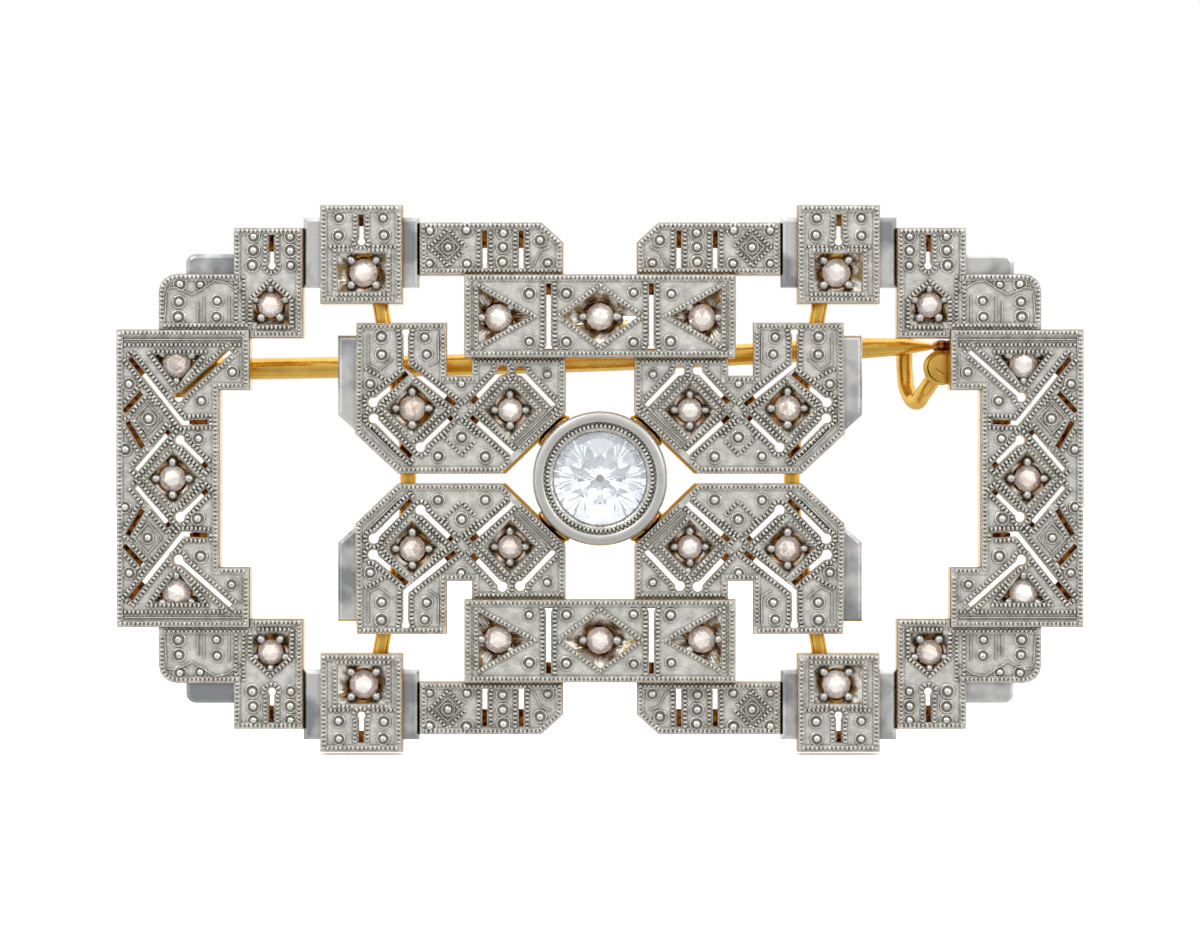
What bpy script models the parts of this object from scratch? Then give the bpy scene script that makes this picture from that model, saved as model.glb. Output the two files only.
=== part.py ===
"""Art Deco plaque brooch: pierced platinum-topped gold plates, 28 rose-cut diamonds, an old
European cut diamond in a raised bezel, and a hinged pin that closes into a wire catch.

The brooch stands upright as worn: its front faces -Y, +Z is up and +X is to the viewer's right.
The origin is behind the centre of the main stone, on the flat back plane of the plates.
Shapes are drawn in millimetres and scaled to metres once, when each part is finished.
(u, v) is a point of the front view. A depth is a distance in front of the back plane.
"""

import math

import bmesh
import bpy
from mathutils import Matrix, Vector

MM = 0.001

# Outline of the plaque
HALF_WIDTH = 25.4
HALF_HEIGHT = 14.32
GAP = 0.05  # solder line between neighbouring plates

# Depths of the front faces, and of the backs that stand clear of the gallery rails
INNER_FRONT = 1.6
SLOTTED_FRONT = 1.6
CORNER_FRONT = 1.7
END_FRONT = 1.9
BAR_FRONT = 2.2
SQUARE_FRONT = 2.3
SHOULDER_FRONT = 1.5
LUG_FRONT = 1.0
FLANGE_FRONT = 1.25
BEZEL_FRONT = 3.2
INNER_BACK = 0.9
LOW_BACK = 0.1

# Piercing
SLOT_WIDTH = 0.27
BALL_RADIUS = 0.28
SMALL_BALL = 0.22

# Stones and their seats
ROSE_HEIGHT = 0.68  # crown height of a rose cut, as a share of its radius
SEAT_DEPTH = 0.42
SEAT_CLEARANCE = 0.03
SEAT_LEDGE = 0.16
MAIN_STONE_RADIUS = 2.43
MAIN_GIRDLE_DEPTH = 2.6

# Bezel and the gold collet under it
BEZEL_RADIUS = 3.52
BEZEL_BACK = 1.25
COLLET_RADIUS = 3.5
COLLET_BACK = 0.4
COLLET_TAB = [(1.55, 2.55), (2.55, 1.55), (3.25, 2.06), (2.05, 3.22)]  # towards the inner plate's chamfer

# Landmarks of the outline that several plates share
END_STEP_U = 18.45
END_TOP_V = 7.8
CORNER_INNER_U = 15.66
SQUARE_U = (10.40, 14.66)
SQUARE_V = (9.22, HALF_HEIGHT)
SHOULDER_U = (9.51, 15.61)
SHOULDER_V = (10.06, 13.74)
SLOTTED_V = (10.74, 13.45)
BAR_U = 7.1
BAR_V = (6.38, 10.69)
INNER_TOP_V = 6.33
FLANGE = [(12.4, 2.60), (12.87, 2.50), (13.82, 3.35), (13.82, 7.54), (12.4, 7.54)]

# Gallery rails
RAIL_DIAMETER = 0.85
RAIL_END = (11.6, 9.03)
RAIL_MIDDLE_U = 10.14

# Pin, hinge and catch; y is measured behind the back plane
HINGE_X = -21.5
HINGE_Y = 2.2
HINGE_Z = 5.85
HINGE_PLATE = (-23.0, -20.3)
HINGE_PLATE_THICKNESS = 0.55
HINGE_HALF_HEIGHT = 1.45
KNUCKLE_RADIUS = 1.05
BARREL_RADIUS = 1.0
BARREL_HALF_HEIGHT = 0.68
KNUCKLE_INNER = 0.74
RIVET_RADIUS = 0.34
RIVET_CLEARANCE = 0.05
TANG_RADIUS = 0.64
TANG_END_X = -19.1
PIN_DIAMETER = 1.15
PIN_TIP_DIAMETER = 0.16
CATCH_DIAMETER = 0.87
FOOT_RADIUS = 0.95
FOOT_DEPTH = 0.45
THUMB_RADIUS = 0.34
CATCH_FOOT = (18.1, 5.89)
CATCH_THUMB = (17.95, 7.02)
CATCH_PATH = [(18.14, 0.30, 5.84), (17.72, 0.80, 5.26), (17.27, 1.45, 4.56), (16.92, 2.20, 4.10),
              (16.52, 2.90, 4.72), (16.38, 3.15, 5.90), (16.38, 3.17, 6.75), (16.42, 3.10, 7.70)]

STONE_SIDES = 8
ROUND_SIDES = 12

PLATINUM = ("platinum_top", (0.62, 0.62, 0.60), 0.35, 1.0)
GOLD = ("yellow_gold", (0.80, 0.55, 0.22), 0.25, 1.0)
DIAMOND = ("diamond", (0.95, 0.95, 0.95), 0.02, 0.0)
CHAMPAGNE = ("champagne_diamond", (0.90, 0.80, 0.70), 0.04, 0.0)

QUADRANTS = (("top_right", 1, 1), ("top_left", -1, 1), ("bottom_left", -1, -1), ("bottom_right", 1, -1))


def clear_scene():
    for item in list(bpy.data.objects):
        bpy.data.objects.remove(item)


def make_collection():
    collection = bpy.data.collections.new("brooch")
    bpy.context.scene.collection.children.link(collection)
    return collection


clear_scene()
BROOCH = make_collection()
MATERIALS = {}


def material(finish):
    """One Principled material for each finish."""
    name, colour, roughness, metallic = finish
    if name not in MATERIALS:
        made = bpy.data.materials.new(name)
        made.use_nodes = True
        shader = made.node_tree.nodes["Principled BSDF"]
        shader.inputs["Base Color"].default_value = (*colour, 1.0)
        shader.inputs["Roughness"].default_value = roughness
        shader.inputs["Metallic"].default_value = metallic
        MATERIALS[name] = made
    return MATERIALS[name]


# ---------------------------------------------------------------- drawing in the front view


def circle(centre, radius, sides=ROUND_SIDES):
    u, v = centre
    turns = [2 * math.pi * i / sides for i in range(sides)]
    return [(u + radius * math.cos(a), v + radius * math.sin(a)) for a in turns]


def corner_arc(centre, radius, start, end, steps=4):
    """Points of a rounded corner, between two angles in degrees."""
    u, v = centre
    turns = [math.radians(start + (end - start) * i / steps) for i in range(steps + 1)]
    return [(u + radius * math.cos(a), v + radius * math.sin(a)) for a in turns]


def rectangle(left, bottom, right, top):
    return [(left, bottom), (right, bottom), (right, top), (left, top)]


def slot(*path, ball=0.0):
    """Outline of a slot sawn along a path; a ball is the drilled hole at the path's first point."""
    half = SLOT_WIDTH / 2
    points = [Vector(point) for point in path]
    steps = [(b - a).normalized() for a, b in zip(points, points[1:])]
    left, right = [], []
    for i, point in enumerate(points):
        before, after = steps[max(i - 1, 0)], steps[min(i, len(steps) - 1)]
        along = (before + after).normalized()
        across = Vector((-along.y, along.x)) * (half / along.dot(after))
        left.append(tuple(point + across))
        right.append(tuple(point - across))
    if not ball:
        return left + right[::-1]
    back = math.atan2(-steps[0].y, -steps[0].x)
    spread = math.pi - math.asin(half / ball)
    turns = [back + spread * (1 - i / 3) for i in range(7)]
    hole = [(points[0].x + ball * math.cos(a), points[0].y + ball * math.sin(a)) for a in turns]
    return left[1:] + right[:0:-1] + hole


def upside_down(loops):
    return [[(u, -v) for u, v in loop] for loop in loops]


# ---------------------------------------------------------------- solids


def link(name, mesh):
    made = bpy.data.objects.new(name, mesh)
    BROOCH.objects.link(made)
    return made


def solid_from_bmesh(name, shape):
    bmesh.ops.recalc_face_normals(shape, faces=shape.faces)
    mesh = bpy.data.meshes.new(name)
    shape.to_mesh(mesh)
    shape.free()
    return link(name, mesh)


def solid_from_curve(name, curve, matrix):
    """Turn a curve into a welded solid and drop the curve."""
    guide = link(name + "_curve", curve)
    guide.matrix_world = matrix
    bpy.context.view_layer.update()
    graph = bpy.context.evaluated_depsgraph_get()
    mesh = bpy.data.meshes.new_from_object(guide.evaluated_get(graph))
    shape = bmesh.new()
    shape.from_mesh(mesh)
    shape.transform(matrix)
    bmesh.ops.remove_doubles(shape, verts=shape.verts, dist=1e-5)
    bpy.data.objects.remove(guide)
    return solid_from_bmesh(name, shape)


def bake_modifiers(item):
    bpy.context.view_layer.update()
    graph = bpy.context.evaluated_depsgraph_get()
    mesh = bpy.data.meshes.new_from_object(item.evaluated_get(graph))
    item.modifiers.clear()
    item.data = mesh


def combine(base, other, operation):
    """Join another solid to the base, or cut it away, and drop the other solid."""
    modifier = base.modifiers.new(operation.title(), "BOOLEAN")
    modifier.operation = operation
    modifier.solver = "EXACT"
    modifier.object = other
    bake_modifiers(base)
    bpy.data.objects.remove(other)
    return base


def slab(name, loops, front, back):
    """Flat solid between two depths: the first loop is its outline, the others are openings."""
    curve = bpy.data.curves.new(name, "CURVE")
    curve.dimensions = "2D"
    curve.fill_mode = "BOTH"
    curve.extrude = (front - back) / 2
    for loop in loops:
        spline = curve.splines.new("POLY")
        spline.points.add(len(loop) - 1)
        for point, (u, v) in zip(spline.points, loop):
            point.co = (u, v, 0, 1)
        spline.use_cyclic_u = True
    upright = Matrix.Translation((0, -(front + back) / 2, 0)) @ Matrix.Rotation(math.pi / 2, 4, "X")
    return solid_from_curve(name, curve, upright)


def cylinder(name, radius, start, end, sides=ROUND_SIDES):
    start, end = Vector(start), Vector(end)
    turn = (end - start).to_track_quat("Z", "Y").to_matrix().to_4x4()
    place = Matrix.Translation((start + end) / 2) @ turn
    shape = bmesh.new()
    bmesh.ops.create_cone(shape, cap_ends=True, segments=sides, radius1=radius, radius2=radius,
                          depth=(end - start).length, matrix=place)
    return solid_from_bmesh(name, shape)


def box(name, low, high):
    low, high = Vector(low), Vector(high)
    size = Matrix.Diagonal((*(high - low), 1.0))
    shape = bmesh.new()
    bmesh.ops.create_cube(shape, size=1.0, matrix=Matrix.Translation((low + high) / 2) @ size)
    return solid_from_bmesh(name, shape)


def turned(name, profile, place, sides=32):
    """Solid of revolution about Z, closed at the axis or round a ring, moved by a matrix."""
    mesh = bpy.data.meshes.new(name)
    ring = all(radius > 0 for radius, _ in profile)
    edges = [(i, i + 1) for i in range(len(profile) - 1)]
    if ring:
        edges.append((len(profile) - 1, 0))
    mesh.from_pydata([(radius, 0, height) for radius, height in profile], edges, [])
    item = link(name, mesh)
    screw = item.modifiers.new("Turn", "SCREW")
    screw.axis = "Z"
    screw.steps = sides
    screw.render_steps = sides
    screw.use_merge_vertices = True
    screw.merge_threshold = 1e-4
    bake_modifiers(item)
    shape = bmesh.new()
    shape.from_mesh(item.data)
    bpy.data.objects.remove(item)
    bmesh.ops.remove_doubles(shape, verts=shape.verts, dist=1e-5)
    shape.transform(place)
    return solid_from_bmesh(name, shape)


def wire(name, points, diameter, radii=None, smooth_steps=4):
    """Round wire through points, with a radius factor at each point where it tapers."""
    curve = bpy.data.curves.new(name, "CURVE")
    curve.dimensions = "3D"
    curve.bevel_depth = diameter / 2
    curve.bevel_resolution = 2
    curve.use_fill_caps = True
    curve.resolution_u = smooth_steps
    spline = curve.splines.new("BEZIER")
    spline.bezier_points.add(len(points) - 1)
    for i, (point, place) in enumerate(zip(spline.bezier_points, points)):
        point.co = place
        point.handle_left_type = "AUTO"
        point.handle_right_type = "AUTO"
        point.radius = radii[i] if radii else 1.0
    return solid_from_curve(name, curve, Matrix.Identity(4))


def hull_of_rings(name, rings, place):
    """Faceted stone: the convex hull of rings given as (radius, height, corners, turn)."""
    shape = bmesh.new()
    for radius, height, corners, turn in rings:
        for i in range(corners):
            angle = 2 * math.pi * (i + turn) / corners
            shape.verts.new((radius * math.cos(angle), radius * math.sin(angle), height))
    hull = bmesh.ops.convex_hull(shape, input=shape.verts)
    inside = [v for v in hull["geom_interior"] if isinstance(v, bmesh.types.BMVert)]
    bmesh.ops.delete(shape, geom=inside, context="VERTS")
    shape.transform(place)
    return solid_from_bmesh(name, shape)


def facing_front(u, v, depth):
    """Matrix that turns a shape drawn along +Z to face the front, and places it."""
    return Matrix.Translation((u, -depth, v)) @ Matrix.Rotation(math.pi / 2, 4, "X")


# ---------------------------------------------------------------- finished parts


def finish_part(item, finish, origin=(0, 0, 0)):
    """Scale to metres, set the origin, the material and the shading."""
    origin = Vector(origin)
    item.data.transform(Matrix.Scale(MM, 4) @ Matrix.Translation(-origin))
    item.location = origin * MM
    item.data.materials.clear()
    item.data.materials.append(material(finish))
    item.data.shade_smooth()
    item.data.set_sharp_from_angle(angle=math.radians(25))
    return item


def mirrored_part(name, master, across_u, across_v, finish):
    """Copy of a master drawn in the upper right quarter, mirrored where a sign is -1."""
    mesh = master.data.copy()
    mesh.transform(Matrix.Diagonal((across_u, 1, across_v, 1)))
    if across_u * across_v < 0:
        mesh.flip_normals()
    return finish_part(link(name, mesh), finish)


def pierced_plate(name, outline, openings, seats, front, back=0.0):
    """Plate with sawn openings, and stone seats given as (u, v, stone radius)."""
    holes = [circle((u, v), radius - SEAT_LEDGE) for u, v, radius in seats]
    plate = slab(name, [outline, *openings, *holes], front, back)
    for u, v, radius in seats:
        wide = (radius + SEAT_CLEARANCE) / math.cos(math.pi / ROUND_SIDES)
        cutter = cylinder("seat_cutter", wide, (u, -front - 1, v), (u, -front + SEAT_DEPTH, v))
        combine(plate, cutter, "DIFFERENCE")
    return plate


def rose_cut(name, u, v, radius, front):
    """Rose-cut diamond: flat back, eight-sided girdle, four star facets up to a point."""
    height = ROSE_HEIGHT * radius
    rings = ((radius, 0.0, STONE_SIDES, 0), (radius, 0.12 * radius, STONE_SIDES, 0),
             (0.62 * radius, 0.72 * height, 4, 0.5), (0.02 * radius, height, 3, 0))
    stone = hull_of_rings(name, rings, facing_front(u, v, front - SEAT_DEPTH + SEAT_CLEARANCE))
    return finish_part(stone, CHAMPAGNE)


def end_panel_master():
    """C-shaped end panel: a column of three stones between crossing slots."""
    outline = [(20.05, -4.7), (END_STEP_U, -4.7), (END_STEP_U, -END_TOP_V), (HALF_WIDTH, -END_TOP_V),
               (HALF_WIDTH, END_TOP_V), (END_STEP_U, END_TOP_V), (END_STEP_U, 4.7), (20.05, 4.7)]
    upper = [
        slot((24.70, 6.33), (21.96, 2.92), (20.62, 2.98)),
        slot((22.17, 4.28), (19.44, 6.70), ball=BALL_RADIUS),
        slot((24.06, 4.54), (25.02, 3.50)),
        slot((24.83, 2.98), (24.01, 1.60)),
        slot((22.62, 2.52), (24.43, 0.42)),
        slot((22.10, 2.02), (20.65, 0.60), ball=BALL_RADIUS),
    ]
    return pierced_plate("end_master", outline, upper + upside_down(upper), END_STONES, END_FRONT)


def corner_plate_master():
    """Stepped corner plate of two blocks, with a plain polished lug behind its outer step."""
    outline = [
        (CORNER_INNER_U, 7.43), (END_STEP_U - GAP, 7.43), (END_STEP_U - GAP, END_TOP_V + GAP),
        (23.2, END_TOP_V + GAP), *corner_arc((22.3, 9.84), 0.9, 0, 90), (19.25, 10.74),
        (19.25, 13.16), (CORNER_INNER_U, 13.16),
    ]
    plate = pierced_plate("corner_master", outline, [slot((17.28, 11.22), (17.28, 12.84), ball=SMALL_BALL)],
                          CORNER_STONES, CORNER_FRONT)
    lug_outline = [(18.8, 10.2), (21.85, 10.2), *corner_arc((21.35, 11.35), 0.5, 0, 90), (18.8, 11.85)]
    lug = slab("lug", [lug_outline], LUG_FRONT, LOW_BACK)
    return combine(plate, lug, "UNION")


def square_block_master():
    """Raised square block over a lower polished shoulder that shows on both sides."""
    (left, right), (bottom, top) = SQUARE_U, SQUARE_V
    block = pierced_plate("square_master", rectangle(left, bottom, right, top),
                          [slot((12.53, 12.45), (12.53, 13.84), ball=SMALL_BALL)], SQUARE_STONES, SQUARE_FRONT)
    near, far = SHOULDER_U
    for a, b in ((near, left + 0.5), (right - 0.5, far)):
        outline = rectangle(a, SHOULDER_V[0], b, SHOULDER_V[1])
        shoulder = slab("shoulder", [outline], SHOULDER_FRONT, LOW_BACK)
        combine(block, shoulder, "UNION")
    return block


def slotted_block_master():
    """Block with two slots and one cut corner, between the square block and the middle."""
    bottom, top = SLOTTED_V
    right = SHOULDER_U[0] - GAP
    outline = [(1.97, bottom), (right, bottom), (right, top), (3.10, top), (1.97, 12.42)]
    openings = [slot((u, 11.0), (u, 13.05), ball=SMALL_BALL) for u in (6.07, 4.15)]
    return pierced_plate("slotted_master", outline, openings, [], SLOTTED_FRONT)


def bar_master():
    """Three-stone bar, raised in front of the blocks above it and the plates below."""
    openings = [slot((side * 2.7, 6.85), (side * 2.7, 10.25), ball=SMALL_BALL) for side in (-1, 1)]
    return pierced_plate("bar_master", rectangle(-BAR_U, BAR_V[0], BAR_U, BAR_V[1]), openings,
                         BAR_STONES, BAR_FRONT)


def inner_plate_master():
    """Pierced plate beside the bezel: two stones in a lattice of slots, and a polished flange."""
    outline = [(12.8, 8.17), (8.09, 8.17), (8.09, 5.38), (6.72, 5.38), (6.72, INNER_TOP_V),
               (1.84, INNER_TOP_V), (1.84, 3.50), (5.16, 0.29), (10.61, 0.29), (12.87, 2.39)]
    openings = [
        slot((10.24, 7.72), (10.24, 5.96), (7.62, 3.87), ball=SMALL_BALL),
        slot((11.95, 4.02), (10.14, 5.54), ball=BALL_RADIUS),
        slot((11.92, 3.16), (9.93, 1.13), ball=BALL_RADIUS),
        slot((9.46, 1.65), (7.78, 3.26), ball=BALL_RADIUS),
        slot((5.15, 5.70), (6.75, 4.00), ball=BALL_RADIUS),
        slot((4.20, 5.66), (2.42, 3.81), ball=BALL_RADIUS),
        slot((4.47, 1.18), (6.79, 3.27), ball=BALL_RADIUS),
    ]
    plate = pierced_plate("inner_master", outline, openings, INNER_STONES, INNER_FRONT, INNER_BACK)
    flange = slab("flange", [FLANGE], FLANGE_FRONT, INNER_BACK + 0.05)
    return combine(plate, flange, "UNION")


# Stones as (u, v, radius), drawn in the upper right quarter
END_STONES = [(22.27, 6.02, 0.75), (22.48, 0.0, 0.70), (22.27, -6.02, 0.75)]
CORNER_STONES = [(17.34, 9.15, 0.68)]
SQUARE_STONES = [(12.40, 10.80, 0.75)]
BAR_STONES = [(-5.35, 8.45, 0.72), (0.0, 8.5, 0.72), (5.35, 8.45, 0.72)]
INNER_STONES = [(9.88, 3.70, 0.70), (4.73, 3.60, 0.65)]


def place_plates():
    """Every plate of the frame, mirrored from its master, with its stones."""
    end = end_panel_master()
    for side, sign in (("left", -1), ("right", 1)):
        mirrored_part(f"{side}_end_panel", end, sign, 1, PLATINUM)
        for place, (u, v, radius) in zip(("top", "middle", "bottom"), END_STONES):
            rose_cut(f"{side}_end_rose_{place}", sign * u, v, radius, END_FRONT)
    quarter_plates = (
        ("corner_plate", corner_plate_master(), CORNER_STONES, ("corner_rose",), CORNER_FRONT),
        ("square_block", square_block_master(), SQUARE_STONES, ("square_rose",), SQUARE_FRONT),
        ("slotted_block", slotted_block_master(), [], (), SLOTTED_FRONT),
        ("inner_plate", inner_plate_master(), INNER_STONES, ("outer_rose", "inner_rose"), INNER_FRONT),
    )
    for kind, master, stones, stone_names, front in quarter_plates:
        for quarter, across_u, across_v in QUADRANTS:
            mirrored_part(f"{quarter}_{kind}", master, across_u, across_v, PLATINUM)
            for stone_name, (u, v, radius) in zip(stone_names, stones):
                rose_cut(f"{quarter}_{stone_name}", across_u * u, across_v * v, radius, front)
        bpy.data.objects.remove(master)
    bar = bar_master()
    for side, sign in (("top", 1), ("bottom", -1)):
        mirrored_part(f"{side}_bar", bar, 1, sign, PLATINUM)
        for place, (u, v, radius) in zip(("left", "middle", "right"), BAR_STONES):
            rose_cut(f"{side}_bar_rose_{place}", u, sign * v, radius, BAR_FRONT)
    bpy.data.objects.remove(bar)
    bpy.data.objects.remove(end)


def centre_setting():
    """Raised bezel with its diamond, on a gold collet that is soldered to the four inner plates."""
    front = facing_front(0, 0, 0)
    lip = MAIN_STONE_RADIUS - 0.06
    bezel_profile = [(BEZEL_RADIUS, BEZEL_BACK), (BEZEL_RADIUS, BEZEL_FRONT - 0.2),
                     (BEZEL_RADIUS - 0.15, BEZEL_FRONT), (2.95, BEZEL_FRONT), (lip, BEZEL_FRONT - 0.3),
                     (MAIN_STONE_RADIUS + 0.05, MAIN_GIRDLE_DEPTH + 0.15),
                     (MAIN_STONE_RADIUS + 0.05, MAIN_GIRDLE_DEPTH - 0.12),
                     (MAIN_STONE_RADIUS - 0.2, MAIN_GIRDLE_DEPTH - 0.35), (2.1, BEZEL_BACK)]
    finish_part(turned("centre_bezel", bezel_profile, front), PLATINUM)
    collet_profile = [(COLLET_RADIUS, COLLET_BACK), (COLLET_RADIUS, BEZEL_BACK - GAP),
                      (2.1, BEZEL_BACK - GAP), (1.9, COLLET_BACK)]
    collet = turned("centre_collet", collet_profile, front)
    for across_u, across_v in ((1, 1), (-1, 1), (-1, -1), (1, -1)):
        outline = [(across_u * u, across_v * v) for u, v in COLLET_TAB]
        tab = slab("tab", [outline], BEZEL_BACK - 2 * GAP, COLLET_BACK + GAP)
        combine(collet, tab, "UNION")
    finish_part(collet, GOLD)
    r = MAIN_STONE_RADIUS
    rings = ((0.06 * r, -0.86 * r, 8, 0), (0.55 * r, -0.42 * r, 8, 0.5), (r, -0.03 * r, 16, 0),
             (r, 0.03 * r, 16, 0), (0.80 * r, 0.20 * r, 8, 0.5), (0.50 * r, 0.34 * r, 8, 0))
    diamond = hull_of_rings("centre_diamond", rings, facing_front(0, 0, MAIN_GIRDLE_DEPTH))
    finish_part(diamond, DIAMOND)


def gallery_rails():
    """Bowed gold wires behind the inner plates, from one square block to the other."""
    u, v = RAIL_END
    y = -RAIL_DIAMETER / 2 - 0.02
    for side, sign in (("left", -1), ("right", 1)):
        path = [(sign * u, y, v), (sign * RAIL_MIDDLE_U, y, 0), (sign * u, y, -v)]
        finish_part(wire(f"{side}_gallery_rail", path, RAIL_DIAMETER, smooth_steps=8), GOLD)


def hinge():
    """Gold hinge plate with two knuckles, and the rivet through them."""
    left, right = HINGE_PLATE
    low, high = HINGE_Z - HINGE_HALF_HEIGHT, HINGE_Z + HINGE_HALF_HEIGHT
    base = box("hinge_base", (left, GAP, low - 0.1), (right, HINGE_PLATE_THICKNESS, high + 0.1))
    for a, b in ((low, HINGE_Z - KNUCKLE_INNER), (HINGE_Z + KNUCKLE_INNER, high)):
        web = box("web", (HINGE_X - 0.8, 0.3, a), (HINGE_X + 0.8, HINGE_Y, b))
        knuckle = cylinder("knuckle", KNUCKLE_RADIUS, (HINGE_X, HINGE_Y, a), (HINGE_X, HINGE_Y, b), sides=24)
        combine(base, web, "UNION")
        combine(base, knuckle, "UNION")
    bore = cylinder("bore", RIVET_RADIUS + RIVET_CLEARANCE, (HINGE_X, HINGE_Y, low - 1),
                    (HINGE_X, HINGE_Y, high + 1))
    finish_part(combine(base, bore, "DIFFERENCE"), GOLD)
    head = HINGE_HALF_HEIGHT + GAP
    profile = [(0, -head - 0.25), (0.4, -head - 0.22), (0.6, -head), (RIVET_RADIUS, -head),
               (RIVET_RADIUS, head), (0.6, head), (0.4, head + 0.22), (0, head + 0.25)]
    axis = Matrix.Translation((HINGE_X, HINGE_Y, HINGE_Z))
    finish_part(turned("hinge_rivet", profile, axis, sides=16), GOLD)


def pin():
    """Barrel and tapered stem; both have their origin on the hinge axis."""
    axis = (HINGE_X, HINGE_Y, HINGE_Z)
    barrel = cylinder("pin_barrel", BARREL_RADIUS, (HINGE_X, HINGE_Y, HINGE_Z - BARREL_HALF_HEIGHT),
                      (HINGE_X, HINGE_Y, HINGE_Z + BARREL_HALF_HEIGHT), sides=24)
    tang = cylinder("tang", TANG_RADIUS, (HINGE_X + 0.7, HINGE_Y, HINGE_Z), (TANG_END_X, HINGE_Y, HINGE_Z))
    combine(barrel, tang, "UNION")
    bore = cylinder("bore", RIVET_RADIUS + RIVET_CLEARANCE, (HINGE_X, HINGE_Y, HINGE_Z - 2),
                    (HINGE_X, HINGE_Y, HINGE_Z + 2))
    finish_part(combine(barrel, bore, "DIFFERENCE"), GOLD, origin=axis)
    stations = ((TANG_END_X + GAP, 5.85, 1), (-7.46, 6.08, 1), (4.0, 6.45, 1), (13.66, 6.95, 1),
                (16.2, 7.04, 0.80), (17.4, 7.06, 0.42), (18.25, 7.07, PIN_TIP_DIAMETER / PIN_DIAMETER))
    path = [(x, HINGE_Y, z) for x, z, _ in stations]
    radii = [share for _, _, share in stations]
    stem = wire("pin_stem", path, PIN_DIAMETER, radii=radii, smooth_steps=3)
    finish_part(stem, GOLD, origin=axis)


def catch():
    """Wire hook: from a foot behind the right end panel it loops down and up behind the pin."""
    (x, z), (thumb_x, thumb_z) = CATCH_FOOT, CATCH_THUMB
    foot = cylinder("catch_hook", FOOT_RADIUS, (x, GAP, z), (x, GAP + FOOT_DEPTH, z))
    thumb = cylinder("thumb", THUMB_RADIUS, (thumb_x, GAP + 0.05, thumb_z), (thumb_x, FOOT_DEPTH, thumb_z))
    hook = wire("hook", CATCH_PATH, CATCH_DIAMETER)
    finish_part(combine(combine(foot, thumb, "UNION"), hook, "UNION"), GOLD)


place_plates()
centre_setting()
gallery_rails()
hinge()
pin()
catch()
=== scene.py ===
"""Looks of the plaque brooch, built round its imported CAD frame.

Every plate is rebuilt from the outline and openings that its CAD solid shows from the front, and
gets its gold backing, milgrain, engraved domes, bright-cut seats and setting grains.
Shapes are drawn in millimetres as (u, v, depth): u to the viewer's right, v up, and depth towards
the viewer from the back plane of the plates. They are turned to the frame's metres at the end.
"""

import math
import random

import bmesh
import bpy
import numpy as np
from mathutils import Matrix, Vector


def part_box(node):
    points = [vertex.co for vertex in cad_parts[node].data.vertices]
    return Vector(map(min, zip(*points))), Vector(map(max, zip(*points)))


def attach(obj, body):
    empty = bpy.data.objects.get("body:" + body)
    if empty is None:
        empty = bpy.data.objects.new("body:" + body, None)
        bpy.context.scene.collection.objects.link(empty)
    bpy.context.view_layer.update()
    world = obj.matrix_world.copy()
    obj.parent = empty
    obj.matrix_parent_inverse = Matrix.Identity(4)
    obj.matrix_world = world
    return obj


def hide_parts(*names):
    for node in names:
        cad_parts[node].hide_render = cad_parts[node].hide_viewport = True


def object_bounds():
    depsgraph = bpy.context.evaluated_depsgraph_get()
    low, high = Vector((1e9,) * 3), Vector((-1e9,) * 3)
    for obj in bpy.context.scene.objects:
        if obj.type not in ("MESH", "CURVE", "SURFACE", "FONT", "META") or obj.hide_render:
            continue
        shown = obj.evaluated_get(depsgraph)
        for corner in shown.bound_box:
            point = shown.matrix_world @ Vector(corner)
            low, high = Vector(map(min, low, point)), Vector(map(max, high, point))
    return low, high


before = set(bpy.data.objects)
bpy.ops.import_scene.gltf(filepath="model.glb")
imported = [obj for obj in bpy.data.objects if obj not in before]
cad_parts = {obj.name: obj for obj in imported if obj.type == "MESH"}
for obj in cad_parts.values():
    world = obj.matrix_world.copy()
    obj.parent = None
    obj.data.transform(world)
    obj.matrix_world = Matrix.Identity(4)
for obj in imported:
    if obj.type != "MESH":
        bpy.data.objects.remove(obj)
cad_low, cad_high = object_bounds()
rng = random.Random(7)

MM = 0.001
UPRIGHT = Matrix.Rotation(math.pi / 2, 4, "X")

# Milgrain: rows of beads along every border and slot
BEAD_PITCH = 0.225
BEAD_LONG = 0.108
BEAD_WIDE = 0.155
BEAD_HIGH = 0.12
BEAD_CROWD = 0.175
BORDER_INSET = 0.17
BORDER_CLEAR = 0.06
SLOT_CLEAR = 0.10
SLOT_OUTSET = 0.18
SEAT_OUTSET = 0.16

# Ridges that carry the beads: widths, or distances out from a slot or seat, then engraved lines
BORDER_RIDGE = 0.34
SLOT_RIDGE = (0.04, 0.31)
SEAT_RIDGE = (0.03, 0.29)
LINE_WIDE = 0.15
LINE_HIGH = 0.12

# Layers, measured down from a plate's front
GROUND_DROP = 0.14
RIDGE_DROP = 0.07
PLATINUM_THICK = 0.42
SHEET_THICK = 0.95

# The gold stands proud of a plate's outline and into its slots. Slots end short of the outline.
GOLD_PROUD = 0.035
SLOT_PROUD = 0.02
SLOT_END_INSET = 0.12

# Gold that still bridges a slot, drawn in the gold with painted shade: half its width, and its layer below
# the platinum's back
WEB_HALF = 0.2
WEB_LAYER = (0.04, 0.2)

# Stone seats
SEAT_SIDES = 40
SEAT_DROP = 0.36
SHELF_DROP = 0.62
SHELF_REACH = 0.12
HOLE_EXTRA = 0.10

# Setting grains: how far past the stone's edge, and how deep, their widest part lies
GRAIN_REACH = 0.17
GRAIN_SUNK = 0.24
GRAIN_LONG = 0.27
GRAIN_WIDE = 0.24
GRAIN_HIGH = 0.34
GRAIN_DEEP = 0.30

# Stones: sides of a rose cut, the share of warm ones, and how far back a facet's normal may point
ROSE_SIDES = 12
WARM_SHARE = 0.35
ROSE_LEAN = -0.82
CULET_LEAN = 0.99

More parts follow.
